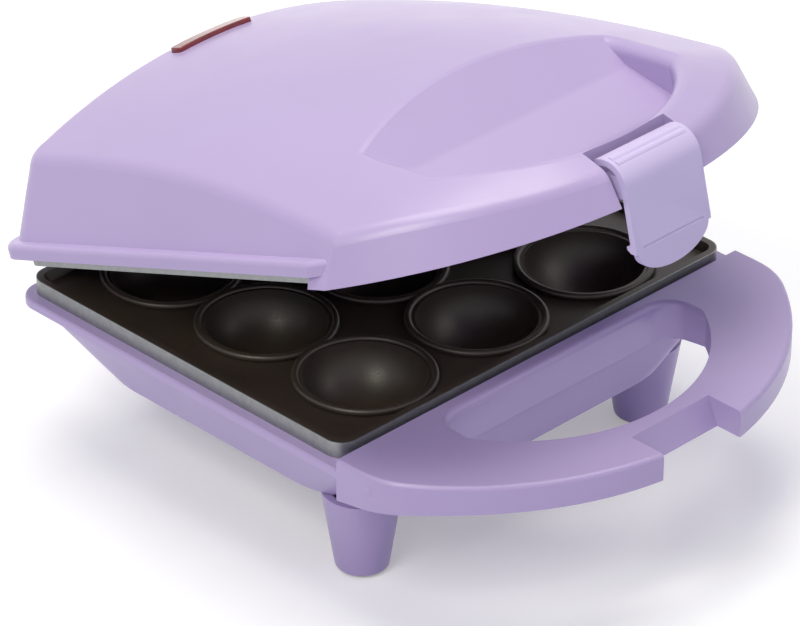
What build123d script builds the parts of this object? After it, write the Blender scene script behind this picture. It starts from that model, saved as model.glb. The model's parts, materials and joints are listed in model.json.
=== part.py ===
"""Cake pop maker: a hinged electric cooker with nine round cups in each of its two plates.

The frame stands on the floor (Z = 0) with +Z up, the handles towards -Y and the hinge at the back.
The lid pieces are drawn shut and then turned about the hinge to the angle at which the lid stands.
"""

import os
from math import asin, cos, degrees, radians, sin, sqrt

from build123d import *

os.makedirs("parts", exist_ok=True)

# ---------------------------------------------------------------- driving dimensions, millimetres
# cups and the two cast plates
CUPS = 3  # cups along each side of the plate
PITCH_X = 47.3
PITCH_Y = 42.8
CUP_R = 19.0
MARGIN_X = 16.35  # from the outer cups to the plate's edge
MARGIN_Y = 7.4
PLATE_WALL = 2.2
PLATE_CORNER = 6.0
PLATE_SIDE = 5.3  # height of the plate's bare side
PLATE_CLEAR = 0.4  # round the upper plate, in the lid
PLATE_SHUT_GAP = 0.6  # between the two plates' rims when the lid is shut
RIM_W = 2.4
RIM_DEPTH = 3.1
RIM_DRAFT = 20.0
RING_W = 1.7  # raised ring round each cup
RING_STEP = 0.9  # ledge between the ring and the cup
RING_H = 2.2
RING_LEDGE_H = 1.3
BOSS_R = 4.2

# heights and the hinge
CUPS_Y = 26.7  # middle of the cups, from the middle of the footprint
LEG_H = 28.0
BASE_H = 30.0  # from the tub's underside to the parting plane
PARTING_Z = LEG_H + BASE_H
HINGE_BEHIND = 7.8  # hinge axis behind the plate
LID_OPEN = 20.3  # degrees

# lower housing
LEG_TOP_R = 12.4
LEG_BOTTOM_R = 8.2
LEG_X = 61.0
REAR_LEG_X = 30.0  # the rear pair stands closer together
LEG_Y = 55.3
LEG_EDGE = 1.5
SHELL = 2.2
FLANGE_SIDE = 3.85  # flange beyond the plate
FLANGE_REAR = 2.3
FLANGE_T = 2.8
FLANGE_CORNER = 8.0
FLANGE_FRONT_IN = 3.0  # from the handle's front
FLANGE_EDGE = 0.9
LEDGE = 2.5  # width of the ledge that carries the plate
TUB_TOP_IN = 3.0  # tub wall inside the flange's edge
TUB_LEAN_SIDE = 10.2
TUB_LEAN_REAR = 4.0
TUB_LEAN_FRONT = 3.0
TUB_TOP_CORNER = 9.0
TUB_BOTTOM_CORNER = 34.0
DECK_GAP = 1.8  # between the plate and the deck
DECK_STRIP = 5.0  # deck between that gap and the finger opening
DECK_DROP = 2.0  # deck below the parting plane
BOW_DEPTH = 49.8  # how far the handles' fronts bow out beyond their sides
BOW_BLEND = 26.0
BOW_REACH = 66.0  # from the deck's back edge to its front
HANDLE_T = 9.0
HANDLE_DEEP = 14.0  # at the tub
OPENING_HALF = 49.5
OPENING_BOW = 26.1  # how far the opening's front bows out beyond its sides
OPENING_REACH = 41.8
OPENING_BACK_R = 8.0
OPENING_SIDE_R = 14.0
OPENING_EDGE = 2.4
DECK_EDGE = 1.4

# latch notch in the front handle
NOTCH_HALF = 16.6
NOTCH_TOP_IN = 14.4  # from the handle's front
NOTCH_LIP_IN = 10.4

# hinge
PIN_R = 2.5
KNUCKLE_R = 5.2
KNUCKLE_X = 51.0
KNUCKLE_W = 15.0
EAR_W = 5.0
HINGE_SIDE_GAP = 0.5
RUN_CLEAR = 0.12  # radial, in the turning bores
SET_CLEAR = 0.05  # radial, in the fixed bores

# lid
LID_LIP_OVER = 2.0  # lid's lip beyond the lower flange
LID_LIP_T = 4.5
LID_LIP_R = 1.9
LID_LIP_FADE = 5.0  # the lip runs into the wall towards the front
LID_SIDE_UP = 4.5  # lid's side edge above the parting plane
LID_FRONT_UP = 0.8
LID_WALL_IN = 0.3  # foot of the walls inside the lip's edge
LID_LEAN_SIDE = 26.6
LID_LEAN_FRONT = 14.0
LID_LEAN_REAR = 9.0
LID_LOFT_H = 60.0  # height over which the walls lean in
DOME_TOP = 46.5  # crown above the parting plane
DOME_BEHIND = 51.3  # crown behind the middle of the cups
DOME_RX = 206.0  # the top is bowed both ways
DOME_RY = 620.0
NOSE_R = 103.0  # the top falls faster over the handle
NOSE_START = 17.7  # in front of the deck's back edge
CREST_R = 6.0
LID_FRONT_REACH = 60.5
RECESS_TOP = 14.0  # where the finger recess starts, behind the deck's back edge
RECESS_TOP_UP = 36.0  # above the parting plane
RECESS_FOLD = 2.0  # in front of the deck's back edge
RECESS_FOLD_UP = 20.0
RECESS_FOOT = 24.0
RECESS_FOOT_UP = 8.0
RECESS_R = 6.0
RECESS_BACK = 6.0  # the D's back, behind where the slope comes out
RECESS_CORNER_R = 20.0
RECESS_RIM_R = 3.6
ON_SKIN = 0.01  # a point this near the lid's form lies on it
LID_OPENING_REACH = 40.5

# indicator window
LENS_L = 31.0
LENS_W = 5.4
LENS_PROUD = 0.7
LENS_CORNER = 1.4
LENS_CLEAR = 0.15
LENS_BEHIND = 57.0  # behind the middle of the cups

# latch
LATCH_W = 31.5
LATCH_SIDE_GAP = 1.2
LATCH_WALL = 2.0
LATCH_R = 8.3
LATCH_PIN_R = 1.5
LATCH_PIN_UP = 7.0
LATCH_PIN_IN = 7.5  # behind the lid's front
LATCH_HOOK_DOWN = 17.9
LATCH_HOOK = 1.5
LATCH_TONGUE = 5.5
LATCH_REST = 6.5  # degrees, inwards
LATCH_BACK = 20.0  # degrees that the cover wraps behind its top
LATCH_EAR_W = 3.0
LATCH_PIN_SET = 4.0  # in each side of the pocket
POCKET_IN = 12.6  # depth of the latch pocket from the lid's front

# heating and wiring
ELEMENT_R = 3.3
ELEMENT_IN_X = 15.15  # inside the plate's edges
ELEMENT_IN_Y = 6.6
ELEMENT_BEND = 14.0
ELEMENT_DROP = 6.3  # below the plate, on saddles
ELEMENT_ENDS = 50.0  # gap between its two ends
CLIP_T = 0.8
CLIP_W = 9.0
CLIP_EAR = 3.0
REFLECTOR_T = 0.6
REFLECTOR_GAP = 1.5  # under the element
REFLECTOR_UP = 4.5
REFLECTOR_OVER_X = 1.5  # beyond the element's middle line
REFLECTOR_IN_Y = 5.0
REFLECTOR_LEAN = 5.0
SCREW_R = 1.7
SCREW_HEAD_R = 3.4
SCREW_HEAD_T = 2.2
SCREW_CLEAR = 0.2
POST_R = 5.6
SEAT = 0.3
OVERRUN = 1.0  # a cut runs this far past what it cuts
TOP_FACING = 0.6  # upright share of a top face's normal
THERMOSTAT_R = 8.0
THERMOSTAT_H = 7.0
THERMOSTAT_BOSS = 5.0
THERMOSTAT_EDGE = 1.0
FUSE_R = 2.4
FUSE_L = 14.0
WIRE_R = 1.1
WIRE_BEND = 1.9
WIRE_APART = 1.8  # from the middle, in the gland
WIRE_STUB = 7.0  # straight run off an end
WIRE_LIFT = 1.0  # one lead over another
WIRE_SLANT = 9.0  # over which a lead turns to the thermostat
WIRE_UNDER = 4.4  # below the thermostat
WIRE_LEAD_IN = 13.0  # level run before the thermostat
TERMINAL_X = 2.4  # from the thermostat's middle
GLAND_R = 5.5
GLAND_FLANGE_R = 8.0
GLAND_FLANGE_T = 2.5
GLAND_BORE_R = 3.5
GLAND_UP = 11.4  # above the tub's underside
GLAND_Z = LEG_H + GLAND_UP
GLAND_IN = 6.0
GLAND_PAD_W = 20.0
GLAND_PAD_R = 4.0
PAD_R = 6.4
PAD_T = 2.4
PAD_PROUD = 0.8
LAMP_R = 3.0
LAMP_L = 16.0
LAMP_DROP = 8.0  # below the dome
HOLDER_L = 20.0
HOLDER_W = 9.0

# ---------------------------------------------------------------- worked out from them
PLATE_X = (CUPS - 1) * PITCH_X / 2 + CUP_R + MARGIN_X  # half width
PLATE_Y = (CUPS - 1) * PITCH_Y / 2 + CUP_R + MARGIN_Y  # half depth
PLATE_FRONT = CUPS_Y - PLATE_Y
PLATE_REAR = CUPS_Y + PLATE_Y
RIM_Z = PARTING_Z - PLATE_SHUT_GAP / 2
FLOOR_Z = RIM_Z - RIM_DEPTH
PLATE_Z = RIM_Z - PLATE_SIDE
FLANGE_X = PLATE_X + FLANGE_SIDE
FLANGE_Z = PLATE_Z
DECK_Z = PARTING_Z - DECK_DROP
DECK_BACK = PLATE_FRONT - DECK_GAP
DECK_FRONT = DECK_BACK - BOW_REACH
OPENING_BACK = DECK_BACK - DECK_STRIP
REAR = PLATE_REAR + FLANGE_REAR
HINGE_Y = PLATE_REAR + HINGE_BEHIND
HINGE = Axis((0, HINGE_Y, PARTING_Z), (1, 0, 0))
FAR = 300.0  # longer than anything here
BOW_R = (FLANGE_X**2 + BOW_DEPTH**2) / (2 * BOW_DEPTH)
OPENING_R = (OPENING_HALF**2 + OPENING_BOW**2) / (2 * OPENING_BOW)


def bow(plane, half, rear, front, rear_r, radius=BOW_R, blend=BOW_BLEND):
    """A plan outline with straight sides and rear, rounded corners and a bowed front."""
    side = front + radius - sqrt(radius**2 - half**2)
    with BuildSketch(plane) as outline:
        with BuildLine():
            ThreePointArc((-half, side), (0, front), (half, side))
            Polyline((half, side), (half, rear), (-half, rear), (-half, side))
        make_face()
        corners = outline.vertices().group_by(Axis.Y)
        if rear_r:
            fillet(corners[-1], rear_r)
        fillet(corners[0], blend)
    return outline.sketch


def d_opening(plane, half, back, front, radius, back_r, side_r, grow=0.0):
    """The D-shaped finger opening of a handle, grown by a wall."""
    with BuildSketch(plane) as outline:
        with Locations((0, front + radius)):
            Circle(radius + grow)
        with Locations((0, back + grow)):
            Rectangle(2 * (half + grow), FAR, align=(Align.CENTER, Align.MAX), mode=Mode.INTERSECT)
        corners = outline.vertices().group_by(Axis.Y)
        fillet(corners[-1], back_r + grow)
        fillet(corners[0], side_r + grow)
    return outline.sketch


def tub(wall, bottom_z, top_z):
    """The lower housing's tub as a solid, drawn in by a wall."""
    half_top = FLANGE_X - TUB_TOP_IN - wall
    half_bottom = half_top - TUB_LEAN_SIDE
    front_top, rear_top = OPENING_BACK + wall, REAR - TUB_TOP_IN / 2 - wall
    front_bottom, rear_bottom = front_top + TUB_LEAN_FRONT, rear_top - TUB_LEAN_REAR
    with BuildPart() as body:
        with BuildSketch(Plane((0, (front_top + rear_top) / 2, top_z))) as top:
            Rectangle(2 * half_top, rear_top - front_top)
            fillet(top.vertices(), TUB_TOP_CORNER - wall)
        with BuildSketch(Plane((0, (front_bottom + rear_bottom) / 2, bottom_z))) as bottom:
            Rectangle(2 * half_bottom, rear_bottom - front_bottom)
            fillet(bottom.vertices(), TUB_BOTTOM_CORNER - wall)
        loft(ruled=True)
    return body.part


# ---------------------------------------------------------------- lower housing
SCREW_SPOTS = [(-PITCH_X / 2, -PITCH_Y / 2), (PITCH_X / 2, -PITCH_Y / 2), (-PITCH_X / 2, PITCH_Y / 2)]
THERMOSTAT_SPOT = (PITCH_X / 2, PITCH_Y / 2)
LEG_SPOTS = [(side * x, y) for side in (-1, 1) for x, y in ((LEG_X, -LEG_Y), (REAR_LEG_X, LEG_Y))]
TUB_FLOOR = LEG_H + SHELL
PAN_Z = LEG_H + REFLECTOR_UP
FLANGE_BOTTOM = FLANGE_Z - FLANGE_T
HANDLE_UNDER = DECK_Z - HANDLE_T

with BuildPart() as handle:
    add(extrude(bow(Plane.XY.offset(LEG_H), FLANGE_X, DECK_BACK, DECK_FRONT, 0), DECK_Z - LEG_H))
    extrude(
        d_opening(Plane.XY.offset(LEG_H), OPENING_HALF, OPENING_BACK, OPENING_BACK - OPENING_REACH,
                  OPENING_R, OPENING_BACK_R, OPENING_SIDE_R),
        DECK_Z - LEG_H,
        mode=Mode.SUBTRACT,
    )
    with BuildSketch(Plane.YZ) as under:
        with BuildLine():
            deep = (DECK_BACK, DECK_Z - HANDLE_DEEP)
            level = (DECK_FRONT + NOTCH_TOP_IN, HANDLE_UNDER)
            Polyline(deep, (DECK_BACK, 0), (DECK_FRONT - OVERRUN, 0),
                     (DECK_FRONT - OVERRUN, HANDLE_UNDER), level)
            TangentArc(level, deep, tangent=(1, 0))
        make_face()
    extrude(amount=FAR, both=True, mode=Mode.SUBTRACT)
    deck_edges = handle.edges().group_by(Axis.Z)[-1].filter_by(lambda e: e.center().Y < DECK_BACK - SEAT)
    outer = deck_edges.filter_by(lambda e: abs((e @ 0).X) > OPENING_HALF or abs((e @ 1).X) > OPENING_HALF)
    fillet([e for e in deck_edges if e not in outer], OPENING_EDGE)
    fillet(outer, DECK_EDGE)


with BuildPart() as lower_housing:
    add(tub(0, LEG_H, FLANGE_BOTTOM))
    flange_front = DECK_FRONT + FLANGE_FRONT_IN
    extrude(bow(Plane.XY.offset(FLANGE_BOTTOM), FLANGE_X, REAR, flange_front, FLANGE_CORNER), FLANGE_T)
    flange_edges = lower_housing.edges().group_by(Axis.Z)[-1].filter_by(lambda e: e.center().Y > DECK_BACK)
    fillet(flange_edges, FLANGE_EDGE)
    extrude(
        d_opening(Plane.XY.offset(LEG_H), OPENING_HALF, OPENING_BACK, OPENING_BACK - OPENING_REACH,
                  OPENING_R, OPENING_BACK_R, OPENING_SIDE_R),
        DECK_Z - LEG_H,
        mode=Mode.SUBTRACT,
    )
    add(handle.part)
    with Locations(*[(x, CUPS_Y + y, PAD_PROUD) for x, y in LEG_SPOTS]):
        Cone(LEG_BOTTOM_R, LEG_TOP_R, LEG_H - PAD_PROUD, align=(Align.CENTER, Align.CENTER, Align.MIN))
    fillet(lower_housing.edges().group_by(Axis.Z)[0], LEG_EDGE)
    with BuildSketch(Plane.XZ.offset(-REAR)) as gland_pad:
        with Locations((0, GLAND_Z)):
            Rectangle(GLAND_PAD_W, GLAND_PAD_W)
        fillet(gland_pad.vertices(), GLAND_PAD_R)
    extrude(amount=TUB_LEAN_REAR)
    with BuildSketch(Plane.YZ) as ear:
        with BuildLine():
            crown = (HINGE_Y - KNUCKLE_R, PARTING_Z)
            back = (HINGE_Y + KNUCKLE_R, PARTING_Z)
            ThreePointArc(crown, (HINGE_Y, PARTING_Z + KNUCKLE_R), back)
            Polyline(back, (REAR - TUB_TOP_IN, FLANGE_BOTTOM - 2 * KNUCKLE_R),
                     (REAR - TUB_TOP_IN, FLANGE_BOTTOM), (REAR, FLANGE_Z - FLANGE_EDGE), crown)
        make_face()
    ear_off = KNUCKLE_W / 2 + HINGE_SIDE_GAP + EAR_W / 2
    for x in [side * (KNUCKLE_X + end * ear_off) for side in (-1, 1) for end in (-1, 1)]:
        extrude(ear.sketch.moved(Location((x, 0, 0))), EAR_W / 2, both=True)
    # inside
    add(tub(SHELL, TUB_FLOOR, FLANGE_BOTTOM), mode=Mode.SUBTRACT)
    with BuildSketch(Plane((0, CUPS_Y, FLANGE_BOTTOM))) as ledge:
        Rectangle(2 * (PLATE_X - LEDGE), 2 * (PLATE_Y - LEDGE))
        fillet(ledge.vertices(), PLATE_CORNER)
    extrude(amount=FLANGE_T, mode=Mode.SUBTRACT)
    with Locations(*[(x, CUPS_Y + y, TUB_FLOOR) for x, y in SCREW_SPOTS]):
        Cylinder(POST_R, PAN_Z - SEAT - TUB_FLOOR, align=(Align.CENTER, Align.CENTER, Align.MIN))
    with Locations(*[(x, CUPS_Y + y, LEG_H) for x, y in SCREW_SPOTS]):
        Cylinder(SCREW_R + SCREW_CLEAR, FAR, mode=Mode.SUBTRACT)
        Cylinder(SCREW_HEAD_R + SCREW_CLEAR, 2 * SCREW_HEAD_T, mode=Mode.SUBTRACT)
    with Locations(*[(x, CUPS_Y + y, PAD_T + SHELL) for x, y in LEG_SPOTS]):
        Cone(LEG_BOTTOM_R - SHELL, LEG_TOP_R - SHELL, TUB_FLOOR - PAD_T - SHELL,
             align=(Align.CENTER, Align.CENTER, Align.MIN), mode=Mode.SUBTRACT)
    with Locations(*[(x, CUPS_Y + y, 0) for x, y in LEG_SPOTS]):
        Cylinder(PAD_R + SET_CLEAR, PAD_T, align=(Align.CENTER, Align.CENTER, Align.MIN), mode=Mode.SUBTRACT)
    with Locations(Plane((0, REAR, GLAND_Z), z_dir=(0, -1, 0))):
        Cylinder(GLAND_R + SET_CLEAR, 2 * (GLAND_IN + OVERRUN), mode=Mode.SUBTRACT)
    with Locations(Plane((0, HINGE_Y, PARTING_Z), z_dir=(1, 0, 0))):
        Cylinder(PIN_R + SET_CLEAR, FAR, mode=Mode.SUBTRACT)
    with BuildSketch(Plane.YZ) as notch:
        with BuildLine():
            Polyline((DECK_FRONT + NOTCH_TOP_IN, DECK_Z), (DECK_FRONT + NOTCH_LIP_IN, HANDLE_UNDER),
                     (DECK_FRONT - OVERRUN, HANDLE_UNDER), (DECK_FRONT - OVERRUN, DECK_Z), close=True)
        make_face()
    extrude(amount=NOTCH_HALF, both=True, mode=Mode.SUBTRACT)
lower_housing.part.label = "lower_housing"
export_step(lower_housing.part, "parts/lower_housing.step")


# ---------------------------------------------------------------- the two cup plates
RING_R = CUP_R + RING_STEP + RING_W
BOSS_END = PAN_Z + REFLECTOR_T + SEAT
CUP_STEPS = [n - (CUPS - 1) / 2 for n in range(CUPS)]
CUP_SPOTS = [(i * PITCH_X, CUPS_Y + j * PITCH_Y, PARTING_Z) for i in CUP_STEPS for j in CUP_STEPS]

with BuildPart() as cup:
    with BuildSketch(Plane.XZ) as cup_half:
        with BuildLine():
            floor_z = FLOOR_Z - PARTING_Z
            ring_z, ledge_z = floor_z + RING_H, floor_z + RING_LEDGE_H
            outside = CUP_R + PLATE_WALL
            outer_low = (0, -outside)
            outer_high = (sqrt(outside**2 - floor_z**2), floor_z)
            inner_low = (0, -CUP_R)
            inner_high = (sqrt(CUP_R**2 - ledge_z**2), ledge_z)
            turn = sin(radians(45))
            ThreePointArc(outer_low, (outside * turn, -outside * turn), outer_high)
            Line(outer_high, (RING_R, floor_z))
            ThreePointArc((RING_R, floor_z), (RING_R - RING_W / 2, ring_z), (RING_R - RING_W, ledge_z))
            Line((RING_R - RING_W, ledge_z), inner_high)
            ThreePointArc(inner_high, (CUP_R * turn, -CUP_R * turn), inner_low)
            Line(inner_low, outer_low)
        make_face()
    revolve(axis=Axis.Z)

ELEMENT_Z = PLATE_Z - ELEMENT_DROP - ELEMENT_R
REFLECTOR_H = ELEMENT_Z - ELEMENT_R - REFLECTOR_GAP - PAN_Z
ELEMENT_X = PLATE_X - ELEMENT_IN_X
ELEMENT_Y = PLATE_Y - ELEMENT_IN_Y
CLIP_IN = ELEMENT_R + SET_CLEAR
CLIP_OUT = CLIP_IN + CLIP_T
CLIP_YS = [(j + 0.5) * PITCH_Y for j in CUP_STEPS[:-1]]
SADDLE_Z = ELEMENT_Z + ELEMENT_R + SEAT

with BuildPart() as lower_plate:
    with BuildSketch(Plane((0, CUPS_Y, PLATE_Z))) as slab:
        Rectangle(2 * PLATE_X, 2 * PLATE_Y)
        fillet(slab.vertices(), PLATE_CORNER)
    extrude(amount=PLATE_SIDE)
    with BuildSketch(Plane((0, CUPS_Y, RIM_Z))) as pocket:
        Rectangle(2 * (PLATE_X - RIM_W), 2 * (PLATE_Y - RIM_W))
        fillet(pocket.vertices(), PLATE_CORNER - RIM_W)
    extrude(amount=-RIM_DEPTH, taper=RIM_DRAFT, mode=Mode.SUBTRACT)
    with Locations(*CUP_SPOTS):
        Cylinder(CUP_R + PLATE_WALL / 2, 2 * PLATE_SIDE + PLATE_WALL, mode=Mode.SUBTRACT)
        add(cup.part)
    with Locations(*[(x, CUPS_Y + y, BOSS_END) for x, y in SCREW_SPOTS]):
        Cylinder(BOSS_R, FLOOR_Z - PLATE_WALL / 2 - BOSS_END, align=(Align.CENTER, Align.CENTER, Align.MIN))
    with Locations(*[(x, CUPS_Y + y, BOSS_END) for x, y in SCREW_SPOTS]):
        Cylinder(SCREW_R + SET_CLEAR, PLATE_Z - BOSS_END - PLATE_WALL,
                 align=(Align.CENTER, Align.CENTER, Align.MIN), mode=Mode.SUBTRACT)
    with Locations((THERMOSTAT_SPOT[0], CUPS_Y + THERMOSTAT_SPOT[1], PLATE_Z - THERMOSTAT_BOSS)):
        Cylinder(BOSS_R, THERMOSTAT_BOSS + PLATE_WALL / 2, align=(Align.CENTER, Align.CENTER, Align.MIN))
        Cylinder(SCREW_R + SET_CLEAR, THERMOSTAT_BOSS, align=(Align.CENTER, Align.CENTER, Align.MIN),
                 mode=Mode.SUBTRACT)
    with Locations(*[(s * ELEMENT_X, CUPS_Y + y, SADDLE_Z) for s in (-1, 1) for y in CLIP_YS]):
        Box(2 * (CLIP_OUT + CLIP_EAR), CLIP_W, PLATE_Z + PLATE_WALL / 2 - SADDLE_Z,
            align=(Align.CENTER, Align.CENTER, Align.MIN))
lower_plate.part.label = "lower_plate"
export_step(lower_plate.part, "parts/lower_plate.step")


# ---------------------------------------------------------------- heating parts, screws and feet
TAIL_X = ELEMENT_ENDS / 2

with BuildPart() as element:
    with BuildLine() as element_path:
        rear, front = CUPS_Y + ELEMENT_Y, CUPS_Y - ELEMENT_Y
        FilletPolyline(
            (-TAIL_X, rear, ELEMENT_Z), (-ELEMENT_X, rear, ELEMENT_Z), (-ELEMENT_X, front, ELEMENT_Z),
            (ELEMENT_X, front, ELEMENT_Z), (ELEMENT_X, rear, ELEMENT_Z), (TAIL_X, rear, ELEMENT_Z),
            radius=ELEMENT_BEND,
        )
    with BuildSketch(Plane((-TAIL_X, rear, ELEMENT_Z), z_dir=(-1, 0, 0))):
        Circle(ELEMENT_R)
    sweep()
element.part.label = "lower_heating_element"
export_step(element.part, "parts/lower_heating_element.step")

with BuildPart() as clips:
    for side in (-1, 1):
        ear_z = SADDLE_Z - ELEMENT_Z
        strap_spot = (side * ELEMENT_X, CUPS_Y, ELEMENT_Z)
        with BuildSketch(Plane(strap_spot, z_dir=(0, -1, 0), x_dir=(1, 0, 0))) as strap:
            Circle(CLIP_OUT)
            Rectangle(2 * CLIP_OUT, ear_z, align=(Align.CENTER, Align.MIN))
            with Locations((0, ear_z)):
                Rectangle(2 * (CLIP_OUT + CLIP_EAR), CLIP_T, align=(Align.CENTER, Align.MAX))
            Circle(CLIP_IN, mode=Mode.SUBTRACT)
            Rectangle(2 * CLIP_IN, ear_z, align=(Align.CENTER, Align.MIN), mode=Mode.SUBTRACT)
            with Locations((0, ear_z)):
                Rectangle(FAR, FAR, align=(Align.CENTER, Align.MAX), mode=Mode.INTERSECT)
        for y in CLIP_YS:
            extrude(strap.sketch.moved(Location((0, y + CLIP_W / 2, 0))), CLIP_W)
clips.part.label = "lower_element_clips"
export_step(clips.part, "parts/lower_element_clips.step")

PAN_TOP_X = ELEMENT_X + REFLECTOR_OVER_X
PAN_TOP_Y = ELEMENT_Y - REFLECTOR_IN_Y
with BuildPart() as reflector:
    for wall, mode in ((0, Mode.ADD), (REFLECTOR_T, Mode.SUBTRACT)):
        with BuildSketch(Plane((0, CUPS_Y, PAN_Z + wall))) as pan_floor:
            Rectangle(2 * (PAN_TOP_X - REFLECTOR_LEAN - wall), 2 * (PAN_TOP_Y - REFLECTOR_LEAN - wall))
            fillet(pan_floor.vertices(), PLATE_CORNER - wall)
        with BuildSketch(Plane((0, CUPS_Y, PAN_Z + REFLECTOR_H))) as pan_top:
            Rectangle(2 * (PAN_TOP_X - wall), 2 * (PAN_TOP_Y - wall))
            fillet(pan_top.vertices(), PLATE_CORNER + REFLECTOR_LEAN - wall)
        loft([pan_floor.sketch, pan_top.sketch], ruled=True, mode=mode)
    with Locations(*[(x, CUPS_Y + y, PAN_Z) for x, y in SCREW_SPOTS]):
        Cylinder(SCREW_R + SCREW_CLEAR, 2 * SHELL, mode=Mode.SUBTRACT)
reflector.part.label = "lower_reflector"
export_step(reflector.part, "parts/lower_reflector.step")

with BuildPart() as screws:
    with Locations(*[(x, CUPS_Y + y, LEG_H) for x, y in SCREW_SPOTS]):
        Cylinder(SCREW_HEAD_R, SCREW_HEAD_T - SET_CLEAR, align=(Align.CENTER, Align.CENTER, Align.MIN))
        Cylinder(SCREW_R, PLATE_Z - LEG_H - 2 * PLATE_WALL, align=(Align.CENTER, Align.CENTER, Align.MIN))
    sockets = screws.faces().group_by(Axis.Z)[0]
    with Locations(*[(f.center().X, f.center().Y, LEG_H) for f in sockets]):
        Cylinder(SCREW_R - SCREW_CLEAR, SCREW_HEAD_T, mode=Mode.SUBTRACT)
screws.part.label = "lower_plate_screws"
export_step(screws.part, "parts/lower_plate_screws.step")

with BuildPart() as foot_pads:
    with Locations(*[(x, CUPS_Y + y, 0) for x, y in LEG_SPOTS]):
        Cylinder(PAD_R, PAD_T, align=(Align.CENTER, Align.CENTER, Align.MIN))
    fillet(foot_pads.edges().group_by(Axis.Z)[0], PAD_PROUD / 2)
foot_pads.part.label = "foot_pads"
export_step(foot_pads.part, "parts/foot_pads.step")

with BuildPart() as hinge_pins:
    for side in (-1, 1):
        with Locations(Plane((side * KNUCKLE_X, HINGE_Y, PARTING_Z), z_dir=(1, 0, 0))):
            Cylinder(PIN_R, KNUCKLE_W + 2 * (HINGE_SIDE_GAP + EAR_W))
hinge_pins.part.label = "hinge_pins"
export_step(hinge_pins.part, "parts/hinge_pins.step")

with BuildPart() as thermostat:
    boss_foot = PLATE_Z - THERMOSTAT_BOSS
    with Locations((THERMOSTAT_SPOT[0], CUPS_Y + THERMOSTAT_SPOT[1], boss_foot)):
        Cylinder(THERMOSTAT_R, THERMOSTAT_H, align=(Align.CENTER, Align.CENTER, Align.MAX))
        Cylinder(SCREW_R, THERMOSTAT_BOSS - PLATE_WALL / 2, align=(Align.CENTER, Align.CENTER, Align.MIN))
    fillet(thermostat.edges().group_by(Axis.Z)[0], THERMOSTAT_EDGE)
thermostat.part.label = "thermostat"
export_step(thermostat.part, "parts/thermostat.step")

with BuildPart() as gland:
    with BuildSketch(Plane((0, REAR + GLAND_FLANGE_T, GLAND_Z), z_dir=(0, -1, 0))):
        Circle(GLAND_FLANGE_R)
    extrude(amount=GLAND_FLANGE_T)
    with BuildSketch(Plane((0, REAR, GLAND_Z), z_dir=(0, -1, 0))):
        Circle(GLAND_R)
    extrude(amount=GLAND_IN)
    fillet(gland.edges().group_by(Axis.Y)[-1], GLAND_FLANGE_T / 2)
    with Locations(Plane((0, REAR, GLAND_Z), z_dir=(0, -1, 0))):
        Cylinder(GLAND_BORE_R, FAR, mode=Mode.SUBTRACT)
gland.part.label = "cord_gland"
export_step(gland.part, "parts/cord_gland.step")

FUSE_SPOT = (0, CUPS_Y + ELEMENT_Y, ELEMENT_Z)
FUSE_END = FUSE_L / 2
with BuildPart() as fuse:
    with Locations(Plane(FUSE_SPOT, z_dir=(1, 0, 0))):
        Cylinder(FUSE_R, FUSE_L)
    fillet(fuse.edges().filter_by(GeomType.CIRCLE), FUSE_R / 2)
fuse.part.label = "thermal_fuse"
export_step(fuse.part, "parts/thermal_fuse.step")


def wire(*points):
    """A lead along straight runs joined by arcs, square to what it starts and ends on."""
    with BuildPart() as lead:
        with BuildLine():
            FilletPolyline(*points, radius=WIRE_BEND)
        with BuildSketch(Plane(origin=points[0], z_dir=Vector(*points[1]) - Vector(*points[0]))):
            Circle(WIRE_R)
        sweep()
    return lead.part


END_Y = CUPS_Y + ELEMENT_Y
LOW_Z = ELEMENT_Z - FUSE_R - 2 * WIRE_R  # under the fuse and over the reflector's rim
BEHIND_PAN = CUPS_Y + PAN_TOP_Y
GLAND_MOUTH = REAR - GLAND_IN - SEAT
thermostat_x, thermostat_y = THERMOSTAT_SPOT[0], CUPS_Y + THERMOSTAT_SPOT[1]
thermostat_foot = PLATE_Z - THERMOSTAT_BOSS - THERMOSTAT_H
FUSE_TURN = FUSE_END + WIRE_STUB
ROW_Y = END_Y - FUSE_R  # the leads' row in front of the fuse
with BuildPart() as lower_wiring:
    with Locations(Plane((FUSE_END, END_Y, ELEMENT_Z), z_dir=(1, 0, 0))):
        Cylinder(WIRE_R, TAIL_X - FUSE_END, align=(Align.CENTER, Align.CENTER, Align.MIN))
    add(wire(
        (-WIRE_APART, GLAND_MOUTH, LOW_Z), (-WIRE_APART, ROW_Y, LOW_Z), (-FUSE_TURN, ROW_Y, LOW_Z),
        (-FUSE_TURN, END_Y, ELEMENT_Z), (-FUSE_END, END_Y, ELEMENT_Z),
    ))
    for lead_x, start, first_x, row_y in (
        (thermostat_x + TERMINAL_X, [(WIRE_APART, GLAND_MOUTH, LOW_Z)], WIRE_APART, ROW_Y),
        (thermostat_x - TERMINAL_X, [(-TAIL_X, END_Y, ELEMENT_Z), (-TAIL_X + WIRE_STUB, END_Y, ELEMENT_Z)],
         -TAIL_X + WIRE_STUB + WIRE_BEND, BEHIND_PAN),
    ):
        add(wire(
            *start, (first_x, row_y, LOW_Z + WIRE_LIFT), (lead_x - WIRE_STUB, row_y, LOW_Z + WIRE_LIFT),
            (lead_x, row_y - WIRE_SLANT, LOW_Z + WIRE_LIFT),
            (lead_x, thermostat_y + WIRE_LEAD_IN, thermostat_foot - WIRE_UNDER),
            (lead_x, thermostat_y, thermostat_foot - WIRE_UNDER), (lead_x, thermostat_y, thermostat_foot),
        ))
lower_wiring.part.label = "lower_wiring"
export_step(lower_wiring.part, "parts/lower_wiring.step")


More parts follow.
